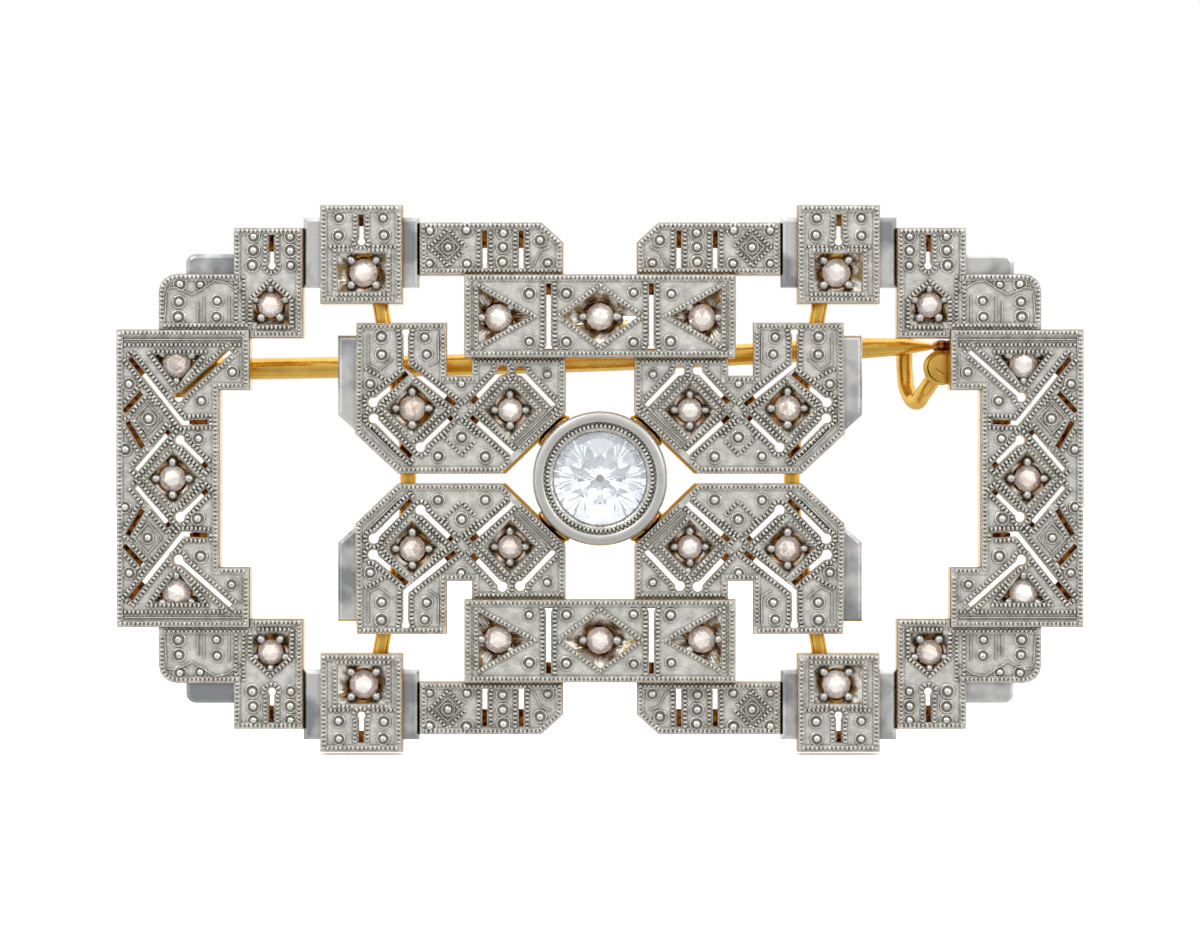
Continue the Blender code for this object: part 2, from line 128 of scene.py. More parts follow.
# Bezel and collet: sides of a turned bezel, and the circles that its beads and the solder lie on
BEZEL_SIDES = 96
BEZEL_BEAD_CIRCLE = 2.74
SOLDER_CIRCLE = 3.60

# Wires, with the pin's distance behind the back plane
RAIL_DIAMETER = 0.85
PIN_DIAMETER = 1.15
PIN_Y = 2.2
CATCH_DIAMETER = 0.87

# Plain polished steps beside the plates: depths of their fronts
LUG_FRONT = 1.0
SHOULDER_FRONT = 1.5
FLANGE_FRONT = 1.25

# Such a step's least area, its reach under the plate, its thickness, and its rounded edge as
# distances in from the outline and down from the front
LEDGE_LEAST = 0.5
LEDGE_TUCK = 0.24
LEDGE_THICK = 0.9
LEDGE_CROWN = ((0.0, 0.20), (0.05, 0.11), (0.12, 0.05), (0.22, 0.001))

# Reach of the painted shade that darkens a metal's colour near a corner
PAINTED_SHADE_REACH = 0.38

# Share of the picture's width that the plaque takes, and the camera's place in metres: extra
# distance in front, and height
PICTURE_SHARE = 0.8058
CAMERA_BACK = 0.0018
CAMERA_UP = 0.00029

# The plate in each quarter mirrors the top right one
QUARTERS = (("top_right", 1, 1), ("top_left", -1, 1), ("bottom_left", -1, -1), ("bottom_right", 1, -1))

# Places of the finishes in PLATE_FINISHES
FROST, BRIGHT, GOLD, SHADED_GOLD, SATIN, CUT = range(6)


# ---------------------------------------------------------------- materials


def new_material(name):
    made = bpy.data.materials.new(name)
    made.use_nodes = True
    return made, made.node_tree.nodes, made.node_tree.links


def noise(nodes, links, scale, detail=3.0):
    """Noise at a scale per millimetre of the object."""
    place = nodes.new("ShaderNodeTexCoord")
    pattern = nodes.new("ShaderNodeTexNoise")
    pattern.inputs["Scale"].default_value = scale / MM
    pattern.inputs["Detail"].default_value = detail
    links.new(place.outputs["Object"], pattern.inputs["Vector"])
    return pattern.outputs["Fac"]


def ramp(nodes, links, source, stops):
    """Colour ramp over stops given as (position, grey or colour)."""
    made = nodes.new("ShaderNodeValToRGB")
    elements = made.color_ramp.elements
    while len(elements) < len(stops):
        elements.new(0.5)
    for element, (position, colour) in zip(elements, stops):
        element.position = position
        shades = colour if isinstance(colour, tuple) else (colour, colour, colour)
        element.color = (*shades, 1.0)
    links.new(source, made.inputs["Fac"])
    return made.outputs["Color"]


def multiplied(nodes, links, first, second):
    made = nodes.new("ShaderNodeMix")
    made.data_type = "RGBA"
    made.blend_type = "MULTIPLY"
    made.inputs["Factor"].default_value = 1.0
    links.new(first, made.inputs["A"])
    links.new(second, made.inputs["B"])
    return made.outputs["Result"]


def bump(nodes, links, shader, height, strength, distance):
    made = nodes.new("ShaderNodeBump")
    made.inputs["Strength"].default_value = strength
    made.inputs["Distance"].default_value = distance * MM
    links.new(height, made.inputs["Height"])
    links.new(made.outputs["Normal"], shader.inputs["Normal"])


def metal(name, light, dark, roughness, bump_strength, painted_shade, blotch=1.4, edges=(0.3, 0.7)):
    """Worn metal: two tones, uneven gloss, a fine tooth, and painted shade that darkens its colour where the
    surface is enclosed.
    """
    made, nodes, links = new_material(name)
    shader = nodes["Principled BSDF"]
    shader.inputs["Metallic"].default_value = 1.0
    tone = ramp(nodes, links, noise(nodes, links, blotch), [(edges[0], dark), (edges[1], light)])
    # Painted shade: the colour is multiplied down by how enclosed the surface is
    enclosed = nodes.new("ShaderNodeAmbientOcclusion")
    enclosed.samples = 6
    enclosed.inputs["Distance"].default_value = PAINTED_SHADE_REACH * MM
    shade = ramp(nodes, links, enclosed.outputs["AO"], painted_shade)
    links.new(multiplied(nodes, links, tone, shade), shader.inputs["Base Color"])
    low, high = roughness
    gloss = ramp(nodes, links, noise(nodes, links, 5.0), [(0.3, low), (0.7, high)])
    links.new(gloss, shader.inputs["Roughness"])
    bump(nodes, links, shader, noise(nodes, links, 9.0, 4.0), bump_strength, 0.03)
    return made


def diamond(name, light, dark, clear):
    """Diamond with faint clouds of colour; the part that isn't clear scatters light softly."""
    made, nodes, links = new_material(name)
    shader = nodes["Principled BSDF"]
    cloud = ramp(nodes, links, noise(nodes, links, 1.1), [(0.35, dark), (0.65, light)])
    links.new(cloud, shader.inputs["Base Color"])
    shader.inputs["Roughness"].default_value = 0.0
    shader.inputs["IOR"].default_value = 2.417
    shader.inputs["Transmission Weight"].default_value = clear
    return made


# Each metal's list after its bump strength is its painted shade: darker colour where the surface is enclosed
PLATINUM = metal("platinum_frosted", (0.90, 0.885, 0.83), (0.58, 0.568, 0.525), (0.20, 0.36), 1.0,
                 [(0.15, (0.05, 0.04, 0.03)), (0.55, (0.34, 0.325, 0.29)), (0.9, 1.0)], 2.2)
POLISHED = metal("platinum_polished", (0.68, 0.68, 0.67), (0.32, 0.325, 0.335), (0.16, 0.30), 0.2,
                 [(0.0, (0.16, 0.15, 0.14)), (0.5, (0.7, 0.69, 0.67)), (0.85, 1.0)], 0.45, (0.42, 0.58))
YELLOW = metal("gold_yellow", (0.76, 0.48, 0.11), (0.60, 0.355, 0.065), (0.14, 0.28), 0.25,
               [(0.0, (0.22, 0.09, 0.03)), (0.6, (0.75, 0.58, 0.38)), (0.9, 1.0)], 0.8)
# Gold darkened all over as painted shade, for gold seen deep in slots, bores and behind other parts
SHADOWED = metal("gold_painted_shade", (0.56, 0.27, 0.05), (0.06, 0.012, 0.01), (0.25, 0.40), 0.3,
                 [(0.0, (0.20, 0.06, 0.03)), (0.6, (0.7, 0.5, 0.35)), (0.9, 1.0)], 2.8, (0.42, 0.60))
SATIN_RIM = metal("platinum_satin", (0.64, 0.63, 0.60), (0.56, 0.55, 0.525), (0.30, 0.42), 0.2,
                  [(0.0, (0.16, 0.15, 0.14)), (0.5, (0.7, 0.69, 0.67)), (0.85, 1.0)])
# Platinum of the seats' bright-cut facets, toned dark brown as painted shade in the recess
CUT_PAINTED_SHADE = metal("platinum_cut_painted_shade", (0.66, 0.64, 0.60), (0.22, 0.14, 0.06), (0.14, 0.28), 0.35,
                   [(0.0, (0.10, 0.06, 0.04)), (0.5, (0.50, 0.45, 0.38)), (0.85, 1.0)], 1.7, (0.42, 0.58))
PLATE_FINISHES = [PLATINUM, POLISHED, YELLOW, SHADOWED, SATIN_RIM, CUT_PAINTED_SHADE]
CLEAR_STONE = diamond("diamond_clear", (0.84, 0.87, 0.90), (0.50, 0.55, 0.62), 0.96)
WHITE_STONE = diamond("diamond_white", (1.0, 0.99, 0.98), (0.86, 0.81, 0.78), 0.82)
# Darker brownish copy of the stone for its steep facets: painted shade and painted reflection of the setting
STONE_EDGE_SHADE = diamond("diamond_edge_painted_shade", (0.88, 0.80, 0.75), (0.50, 0.37, 0.30), 0.62)
# Brown copy for the centre stone's culet: painted shade and reflection seen through the table
CULET = diamond("diamond_culet_painted_shade", (0.50, 0.36, 0.22), (0.25, 0.15, 0.08), 0.30)
WARM_STONE = diamond("diamond_champagne", (1.0, 0.95, 0.92), (0.84, 0.68, 0.58), 0.80)


# ---------------------------------------------------------------- shapes


class Shape:
    """Points and faces of one piece, drawn as (u, v, depth) in millimetres."""

    def __init__(self):
        self.points, self.faces, self.finish, self.smooth = [], [], [], []

    def add(self, points, faces, finish=FROST, smooth=True):
        start = len(self.points)
        self.points.extend(tuple(p) for p in points)
        self.faces.extend(tuple(start + i for i in face) for face in faces)
        self.finish.extend([finish] * len(faces))
        self.smooth.extend([smooth] * len(faces))

    def build(self, name, across_u=1, across_v=1):
        """Mesh object in the frame's metres, mirrored where a sign is -1."""
        flip = across_u * across_v < 0
        points = [(across_u * u * MM, -d * MM, across_v * v * MM) for u, v, d in self.points]
        faces = [face[::-1] if flip else face for face in self.faces]
        mesh = bpy.data.meshes.new(name)
        mesh.from_pydata(points, [], faces)
        mesh.polygons.foreach_set("material_index", self.finish)
        mesh.polygons.foreach_set("use_smooth", self.smooth)
        for finish in PLATE_FINISHES:
            mesh.materials.append(finish)
        mesh.update()
        return linked(name, mesh)


def linked(name, data):
    """Object with this data, in the scene."""
    made = bpy.data.objects.new(name, data)
    bpy.context.scene.collection.objects.link(made)
    return made


def area(loop):
    return sum(a[0] * b[1] - b[0] * a[1] for a, b in zip(loop, loop[1:] + loop[:1])) / 2


def anticlockwise(loop):
    return loop if area(loop) > 0 else loop[::-1]


def offset(loop, distance):
    """Loop moved outward by a distance, with mitred corners; a negative distance moves it inward."""
    points = [Vector(p) for p in anticlockwise(loop)]
    moved = []
    for i, point in enumerate(points):
        before = (point - points[i - 1]).normalized()
        after = (points[(i + 1) % len(points)] - point).normalized()
        along = (before + after).normalized()
        across = Vector((along.y, -along.x))
        moved.append(tuple(point + across * distance / max(along.dot(after), 0.4)))
    return moved


def tucked(loop, cover, reach):
    """Loop whose sides that run along a covering outline are moved under it by a reach."""
    points = [Vector(p) for p in anticlockwise(loop)]
    sides = [(b - a).normalized() for a, b in zip(points, points[1:] + points[:1])]
    normals = [Vector((side.y, -side.x)) for side in sides]
    moves = []
    for i, normal in enumerate(normals):
        middle = (points[i] + points[(i + 1) % len(points)]) / 2
        moves.append(reach if inside(tuple(middle + normal * 0.05), cover) else 0.0)
    out = []
    for i, point in enumerate(points):
        (first, second), (before, after) = (moves[i - 1], moves[i]), (normals[i - 1], normals[i])
        turn = before.cross(after)
        if abs(turn) < 0.05:
            out.append(tuple(point + after * max(first, second)))
        else:
            shift = (first * after.y - second * before.y, second * before.x - first * after.x)
            out.append(tuple(point + Vector(shift) / turn))
    return out


def inside(point, loop):
    u, v = point
    found = False
    for (a, b), (c, d) in zip(loop, loop[1:] + loop[:1]):
        if (b > v) != (d > v) and u < (c - a) * (v - b) / (d - b) + a:
            found = not found
    return found


def convex(loop, slack=0.9):
    """Whether a loop has no inward corner sharper than the slack, in radians."""
    points = [Vector(p) for p in anticlockwise(loop)]
    for i, point in enumerate(points):
        before, after = point - points[i - 1], points[(i + 1) % len(points)] - point
        if math.atan2(before.cross(after), before.dot(after)) < -slack:
            return False
    return True


def roomy(ring, outline, others):
    """Whether a ring lies within an outline and touches none of the other loops."""
    clear = not any(inside(point, ring) for loop in others for point in loop)
    return clear and all(inside(point, outline) for point in ring)


def fan(centre, radius, count, start=0.0):
    u, v = centre
    turns = [start + 2 * math.pi * i / count for i in range(count)]
    return [(u + radius * math.cos(a), v + radius * math.sin(a)) for a in turns]


def slab(shape, loops, front, back, finish):
    """Flat solid between two depths: the first loop is its outline, the others are openings."""
    curve = bpy.data.curves.new("slab", "CURVE")
    curve.dimensions = "2D"
    curve.fill_mode = "BOTH"
    curve.extrude = (front - back) / 2
    for loop in loops:
        spline = curve.splines.new("POLY")
        spline.points.add(len(loop) - 1)
        for point, (u, v) in zip(spline.points, loop):
            point.co = (u, v, 0, 1)
        spline.use_cyclic_u = True
    guide = bpy.data.objects.new("slab", curve)
    mesh = bpy.data.meshes.new_from_object(guide)
    bpy.data.objects.remove(guide)
    solid = bmesh.new()
    solid.from_mesh(mesh)
    bpy.data.meshes.remove(mesh)
    bmesh.ops.remove_doubles(solid, verts=solid.verts, dist=1e-5)
    bmesh.ops.recalc_face_normals(solid, faces=solid.faces)
    solid.verts.index_update()
    middle = (front + back) / 2
    shape.add([(v.co.x, v.co.y, v.co.z + middle) for v in solid.verts],
              [[v.index for v in face.verts] for face in solid.faces], finish, smooth=False)
    solid.free()


def loft(shape, rings, finish, smooth=True):
    """Skin between rings of equally many points, each ring given as (u, v, depth) points."""
    count = len(rings[0])
    points = [p for ring in rings for p in ring]
    faces = []
    for r in range(len(rings) - 1):
        for i in range(count):
            j = (i + 1) % count
            faces.append((r * count + i, r * count + j, (r + 1) * count + j, (r + 1) * count + i))
    shape.add(points, faces, finish, smooth)


def turned(shape, centre, profile, finish, sides):
    """Turned shape facing the viewer: a profile of (radius, depth), from the outside in."""
    rings = [[(*p, depth) for p in fan(centre, radius, sides)] for radius, depth in profile if radius > 0]
    loft(shape, rings, finish)
    if profile[-1][0] == 0:
        cone = [(i, (i + 1) % sides, sides) for i in range(sides)]
        shape.add([*rings[-1], (*centre, profile[-1][1])], cone, finish)


def grain(shape, centre, heading, long, wide, high, base, finish, sides=8, rings=3):
    """Half-sunk rounded grain, longer along its heading."""
    u, v = centre
    cos, sin = math.cos(heading), math.sin(heading)
    loops = []
    for r in range(rings):
        lift = math.pi / 2 * r / rings
        ring = []
        for a, b in fan((0, 0), math.cos(lift), sides):
            ring.append((u + a * long * cos - b * wide * sin, v + a * long * sin + b * wide * cos,
                         base + high * math.sin(lift)))
        loops.append(ring)
    loft(shape, loops, finish)
    cone = [(i, (i + 1) % sides, sides) for i in range(sides)]
    shape.add([*loops[-1], (u, v, base + high)], cone, finish)


def ridge(shape, path, level, closed):
    """Raised engraved line along a path of (u, v) points."""
    points = [Vector(p) for p in path]
    count = len(points)
    sections = []
    for i, point in enumerate(points):
        steps = []
        if closed or i > 0:
            steps.append((point - points[i - 1]).normalized())
        if closed or i < count - 1:
            steps.append((points[(i + 1) % count] - point).normalized())
        along = sum(steps, Vector((0, 0))).normalized()
        across = Vector((along.y, -along.x)) * LINE_WIDE / 2 / max(0.5, along.dot(steps[0]))
        foot, top = level - 0.03, level + LINE_HIGH
        sections.append([(*(point - across), foot), (*(point - across * 0.35), top),
                         (*(point + across * 0.35), top), (*(point + across), foot)])
    faces = []
    for i in range(count if closed else count - 1):
        j = (i + 1) % count
        faces.extend((4 * i + k, 4 * i + k + 1, 4 * j + k + 1, 4 * j + k) for k in range(3))
    if not closed:
        faces += [(3, 2, 1, 0), (4 * count - 4, 4 * count - 3, 4 * count - 2, 4 * count - 1)]
    shape.add([p for section in sections for p in section], faces, smooth=False)


# ---------------------------------------------------------------- reading the CAD plates


def smooth_arcs(loop):
    """Adds a point on the arc between two neighbouring points of a drilled hole."""
    points = [Vector(p) for p in loop]
    count = len(points)
    turns = []
    for i, point in enumerate(points):
        before, after = point - points[i - 1], points[(i + 1) % count] - point
        turns.append(math.atan2(before.cross(after), before.dot(after)))
    out = []
    for i, point in enumerate(points):
        out.append(tuple(point))
        after = points[(i + 1) % count]
        step = after - point
        first, second = turns[i], turns[(i + 1) % count]
        if step.length < 0.45 and first * second > 0 and 0.2 < min(abs(first), abs(second)) < 1.25:
            turn = min(abs(first), abs(second)) * (1 if first > 0 else -1)
            rise = Vector((step.y, -step.x)) * math.tan(turn / 4) / 2
            out.append(tuple((point + after) / 2 + rise))
    return out


def front_loops(node, depth):
    """Outlines of a CAD node's faces at one depth: the largest loop first, then its openings."""
    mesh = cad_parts[node].data
    keys = [(round(v.co.x / MM, 4), round(v.co.z / MM, 4)) for v in mesh.vertices]
    edges = {}
    for face in mesh.polygons:
        depths = [-mesh.vertices[i].co.y / MM for i in face.vertices]
        if face.normal.y < -0.99 and all(abs(found - depth) < 0.003 for found in depths):
            ring = [keys[i] for i in face.vertices]
            for a, b in zip(ring, ring[1:] + ring[:1]):
                edges.setdefault(a, []).append(b)
    border = {a: [b for b in ends if a not in edges.get(b, [])] for a, ends in edges.items()}
    loops = []
    while any(border.values()):
        start = next(a for a, ends in border.items() if ends)
        loop, here = [], start
        while border.get(here):
            loop.append(here)
            here = border[here].pop()
        loops.extend(tidied(part) for part in unpinched(loop))
    loops = [loop for loop in loops if len(loop) > 2]
    return sorted(loops, key=lambda loop: -abs(area(loop)))


def unpinched(loop):
    """Splits a loop that touches itself at a point into its separate loops."""
    for i, point in enumerate(loop):
        if point in loop[i + 1:]:
            j = loop.index(point, i + 1)
            return unpinched(loop[:i] + loop[j:]) + unpinched(loop[i + 1:j])
    return [loop]


def tidied(loop):
    """Loop without points that double their neighbour or lie on a straight side."""
    kept = [p for i, p in enumerate(loop) if math.dist(p, loop[i - 1]) > 0.03]
    return [p for i, p in enumerate(kept) if not straight(kept[i - 1], p, kept[(i + 1) % len(kept)])]


def straight(a, b, c):
    before, after = Vector(b) - Vector(a), Vector(c) - Vector(b)
    if min(before.length, after.length) < 1e-4:
        return True
    return abs(before.normalized().cross(after.normalized())) < 0.01


def node_depth(node):
    """Depths of a node's front and back."""
    low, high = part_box(node)
    return -low.y / MM, -high.y / MM


def half_width(node):
    low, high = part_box(node)
    return (high.x - low.x) / 2 / MM


def stone_place(node):
    """Centre (u, v), radius and base depth of a stone."""
    low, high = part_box(node)
    middle = (low + high) / 2
    return (middle.x / MM, middle.z / MM), half_width(node), -high.y / MM


# ---------------------------------------------------------------- surface work on a plate


def row_places(loop, closed=True):
    """Evenly spaced (u, v, heading) along a loop or path, with no gap at its end."""
    points = [Vector(p) for p in (loop + loop[:1] if closed else loop)]
    lengths = [(b - a).length for a, b in zip(points, points[1:])]
    total = sum(lengths)
    count = max(2, round(total / BEAD_PITCH))
    places, piece, passed = [], 0, 0.0
    for i in range(count if closed else count + 1):
        at = total * i / count
        while piece < len(lengths) - 1 and at > passed + lengths[piece]:
            passed += lengths[piece]
            piece += 1
        a, b = points[piece], points[piece + 1]
        spot = a.lerp(b, min(1.0, (at - passed) / max(lengths[piece], 1e-6)))
        places.append((spot.x, spot.y, math.atan2(b.y - a.y, b.x - a.x)))
    return places


class Milgrain:
    """Rows of beads on one plate. A bead that would crowd an earlier one or leave the metal is left out."""

    def __init__(self, shape, outline, openings, level):
        self.shape, self.outline, self.openings, self.level = shape, outline, openings, level
        self.placed = []

    def row(self, loop, closed=True, clear=SLOT_CLEAR):
        keep_out = [offset(opening, clear) for opening in self.openings]
        keep_in = offset(self.outline, -clear)
        for u, v, heading in row_places(loop, closed):
            if not inside((u, v), keep_in) or any(inside((u, v), hole) for hole in keep_out):
                continue
            if any((u - a) ** 2 + (v - b) ** 2 < BEAD_CROWD ** 2 for a, b in self.placed):
                continue
            self.placed.append((u, v))
            size = rng.uniform(0.92, 1.06)
            heading += rng.uniform(-0.08, 0.08)
            grain(self.shape, (u, v), heading, BEAD_LONG * size, BEAD_WIDE * size, BEAD_HIGH * size,
                  self.level, FROST)


def dome(shape, centre, level):
    """Engraved bead: a dome in a ring groove, with a raised rim round it."""
    profile = [(0.43, -0.01), (0.40, 0.07), (0.36, 0.10), (0.32, 0.07), (0.27, -0.02), (0.235, -0.01),
               (0.205, 0.10), (0.15, 0.175), (0.07, 0.21), (0.0, 0.215)]
    size = rng.uniform(0.86, 1.0)
    spot = (centre[0] + rng.uniform(-0.03, 0.03), centre[1] + rng.uniform(-0.03, 0.03))
    turned(shape, spot, [(r * size, level + h * size) for r, h in profile], FROST, sides=16)


def on_polygon(centre, polygon, angle):
    """Point where a ray from the centre meets a convex polygon."""
    origin, ray = Vector(centre), Vector((math.cos(angle), math.sin(angle)))
    best = 1e9
    for a, b in zip(polygon, polygon[1:] + polygon[:1]):
        a, side = Vector(a), Vector(b) - Vector(a)
        across = ray.cross(side)
        if abs(across) > 1e-9:
            far, along = (a - origin).cross(side) / across, (a - origin).cross(ray) / across
            if far > 0 and -1e-6 <= along <= 1 + 1e-6:
                best = min(best, far)
    return tuple(origin + ray * best)


def seat(shape, stone, polygon, level, back):
    """Bright-cut seat: facets from the polygon down to the stone's hole in platinum darkened as painted
    shade, and a gold bore behind it in the gold with painted shade.
    """
    centre, radius, _ = stone
    turns = [math.atan2(v - centre[1], u - centre[0]) for u, v in polygon]
    turns += [2 * math.pi * i / SEAT_SIDES for i in range(SEAT_SIDES)]
    angles = sorted({round(a % (2 * math.pi), 4) for a in turns})
    hole, lip = radius + HOLE_EXTRA, radius - SHELF_REACH
    outer = [(centre[0] + hole * math.cos(a), centre[1] + hole * math.sin(a)) for a in angles]
    inner = [(centre[0] + lip * math.cos(a), centre[1] + lip * math.sin(a)) for a in angles]
    rim = [(*on_polygon(centre, polygon, a), level) for a in angles]
    lower = [(*p, level - SEAT_DROP) for p in outer]
    shelf = [(*p, level - SHELF_DROP) for p in outer]
    ledge = [(*p, level - SHELF_DROP) for p in inner]
    # The facets take the platinum with painted shade, the bore the gold with painted shade
    loft(shape, [rim, lower], CUT, smooth=False)
    behind = [[(*p, back) for p in inner], [(*p, back) for p in outer]]
    loft(shape, [lower, shelf, ledge, *behind], SHADED_GOLD, smooth=False)


def grains(shape, stone, angles, level):
    """Setting grains raised over the stone's edge, one at each angle in degrees."""
    (u, v), radius, _ = stone
    reach, base = radius + GRAIN_REACH, level - GRAIN_SUNK
    for degrees in angles:
        angle = math.radians(degrees)
        spot = (u + reach * math.cos(angle), v + reach * math.sin(angle))
        size = rng.uniform(0.92, 1.08)
        for high, rings in ((GRAIN_HIGH, 5), (-GRAIN_DEEP, 4)):
            grain(shape, spot, angle, GRAIN_LONG * size, GRAIN_WIDE * size, high, base, SATIN, 12, rings)


def lozenge(centre, half_u, half_v):
    u, v = centre
    return [(u + half_u, v), (u, v + half_v), (u - half_u, v), (u, v - half_v)]


def strip(a, b, half_width):
    """Rectangle round the segment between two points."""
    a, b = Vector(a), Vector(b)
    along = (b - a).normalized()
    across = Vector((along.y, -along.x)) * half_width
    return [tuple(p) for p in (a - across, b - across, b + across, a + across)]


def plate(node, seats, rows, domes, rim, lines, webs):
    """One plate: gold sheet and rim behind, platinum in front, then its surface work.

    seats are (stone node, polygon, grain angles); rows are extra bead rows as (points, closed);
    domes are their centres; rim is the width of the gold rim round the hollow back;
    lines are engraved ridges as (points, closed); webs are stretches of a slot, as two points, that
    gold still bridges, drawn in the gold with painted shade.
    """
    shape = Shape()
    depth, back = node_depth(node)
    loops = front_loops(node, depth)
    outline = anticlockwise(loops[0])
    stones = [stone_place(name) for name, _, _ in seats]
    openings, field = [], offset(outline, -SLOT_END_INSET)
    for found in loops[1:]:
        loop = [point for point in found if inside(point, field)]
        if len(loop) < 3:
            continue
        middle = Vector(np.mean(loop, axis=0))
        if all((middle - Vector(stone[0])).length > 0.2 for stone in stones):
            openings.append(anticlockwise(smooth_arcs(anticlockwise(loop))))
    polygons = [anticlockwise(polygon) for _, polygon, _ in seats]
    ground, sheet = depth - GROUND_DROP, max(back, depth - SHEET_THICK)
    platinum_back = depth - PLATINUM_THICK
    slab(shape, [outline, *openings, *polygons], ground, platinum_back, FROST)
    sawn = [offset(opening, -SLOT_PROUD) for opening in openings]
    slab(shape, [offset(outline, GOLD_PROUD), *sawn, *polygons], platinum_back - 0.002, sheet, GOLD)
    web_front, web_back = (platinum_back - drop for drop in WEB_LAYER)
    # The webs take the gold with painted shade
    for a, b in webs:
        slab(shape, [strip(a, b, WEB_HALF)], web_front, web_back, SHADED_GOLD)
    if sheet > back + 0.05:
        slab(shape, [offset(outline, GOLD_PROUD), offset(outline, -rim)], sheet - 0.002, back, GOLD)
    slab(shape, [outline, offset(outline, -BORDER_RIDGE)], depth - RIDGE_DROP, ground - 0.05, FROST)
    beads = Milgrain(shape, outline, openings + polygons, depth - RIDGE_DROP - 0.02)
    beads.row(offset(outline, -BORDER_INSET), clear=BORDER_CLEAR)
    beads.level = ground + 0.035
    for i, opening in enumerate(openings):
        inner, outer = (offset(opening, out) for out in SLOT_RIDGE)
        others = [loop for loop in openings + polygons if loop is not opening]
        if convex(opening) and roomy(outer, outline, others):
            slab(shape, [outer, inner], ground + 0.045 - 0.0007 * i, ground - 0.02, FROST)
        beads.row(offset(opening, SLOT_OUTSET))
    for polygon in polygons:
        inner, outer = (offset(polygon, out) for out in SEAT_RIDGE)
        if roomy(outer, outline, openings):
            slab(shape, [outer, inner], ground + 0.052, ground - 0.02, FROST)
        beads.row(offset(polygon, SEAT_OUTSET))
    beads.level = ground
    for points, closed in rows:
        beads.row(points, closed)
    for points, closed in lines:
        ridge(shape, points, ground, closed)
    for centre in domes:
        dome(shape, centre, ground)
    for stone, polygon, (_, _, angles) in zip(stones, polygons, seats):
        seat(shape, stone, polygon, ground, sheet)
        grains(shape, stone, angles, ground)
    return shape


def show(shape, node, mirror=(1, 1)):
    """Builds the piece that stands for one node of the frame."""
    settle(shape.build(f"{node}_fine", *mirror), node, "frame")


def settle(made, node, body):
    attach(made, body)
    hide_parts(node)


# ---------------------------------------------------------------- the plates


# Stretches of slot in the upper half of the right end panel that the gold still bridges, drawn in the gold
# with painted shade
END_WEBS = [((24.80, 6.40), (24.0, 5.5)), ((25.1, 3.4), (24.1, 4.5)), ((24.9, 3.0), (24.1, 1.6)),
            ((22.8, 2.6), (22.45, 2.2)), ((20.9, 0.85), (20.5, 0.5)), ((21.6, 3.05), (20.5, 2.95))]

# Gold backing that shows beside the bezel, along an inner plate's cut corner
CHAMFER_STRIP = [(1.95, 3.55), (1.80, 3.30), (4.98, 0.24), (5.25, 0.32)]


def both(points):
    """Points of the upper half and their mirror images in the lower half."""
    return [*points, *[(u, -v) for u, v in points]]


def end_panels():
    triangle = [(22.22, 4.85), (23.45, 6.50), (20.95, 6.50)]
    seats = [
        ("right_end_rose_top", triangle, (35, 150, 270)),
        ("right_end_rose_middle", lozenge((22.40, 0), 1.35, 1.40), (0, 90, 180, 270)),
        ("right_end_rose_bottom", [(u, -v) for u, v in triangle], (-35, -150, -270)),
    ]
    domes = both([(20.96, 4.07), (21.12, 2.08), (19.33, 5.59), (24.75, 4.95), (24.95, 1.5), (23.74, 3.13)])
    rows, lines, webs = [], [], []
    for sign in (1, -1):
        rows.append(([(18.95, sign * 7.02), (24.95, sign * 7.02)], False))
        rows.append((lozenge((23.74, sign * 3.13), 1.15, 1.20), True))
        lines.append(([(18.85, sign * 7.30), (25.0, sign * 7.30)], False))
        lines.append((lozenge((23.74, sign * 3.13), 0.72, 0.80), True))
        lines.append(([(18.85, sign * 6.5), (18.85, sign * 5.25)], False))
        webs.extend([(a, sign * b), (c, sign * d)] for (a, b), (c, d) in END_WEBS)
    shape = plate("right_end_panel", seats, rows, domes, 0.55, lines, webs)
    for side, sign in (("right", 1), ("left", -1)):
        show(shape, f"{side}_end_panel", (sign, 1))


def quarter_plates(kind, shape):
    for quarter, across_u, across_v in QUARTERS:
        show(shape, f"{quarter}_{kind}", (across_u, across_v))


def corner_plates():
    node = "top_right_corner_plate"
    house = [(17.34, 10.20), (16.35, 9.35), (16.35, 8.10), (18.25, 8.10), (18.25, 9.35)]
    seats = [("top_right_corner_rose", house, (90, 18, 162, 234, 306))]
    domes = [(22.15, 9.3), (20.14, 9.3), (22.15, 8.5), (20.14, 8.5), (22.1, 10.2), (21.0, 10.2),
             (18.25, 12.7), (18.25, 12.0), (18.3, 11.2), (16.3, 12.7), (16.3, 12.0), (16.25, 11.2)]
    rows = [([(19.15, 8.2), (19.15, 10.3)], False), ([(18.75, 8.2), (18.75, 10.6)], False)]
    zigzag = [(22.75, 10.0), (22.3, 10.05), (21.44, 9.65), (20.24, 10.4), (19.63, 10.3), (18.9, 9.8)]
    lines = [(zigzag, False), ([(21.14, 9.3), (21.14, 8.2)], False), ([(20.82, 9.5), (20.82, 8.2)], False),
             ([(22.8, 9.7), (22.9, 8.2)], False), ([(19.5, 9.6), (19.5, 8.2)], False)]
    webs = [((17.28, 13.0), (17.28, 11.95))]
    shape = plate(node, seats, rows, domes, 0.75, lines, webs)
    polished_ledge(shape, node, LUG_FRONT)
    quarter_plates("corner_plate", shape)


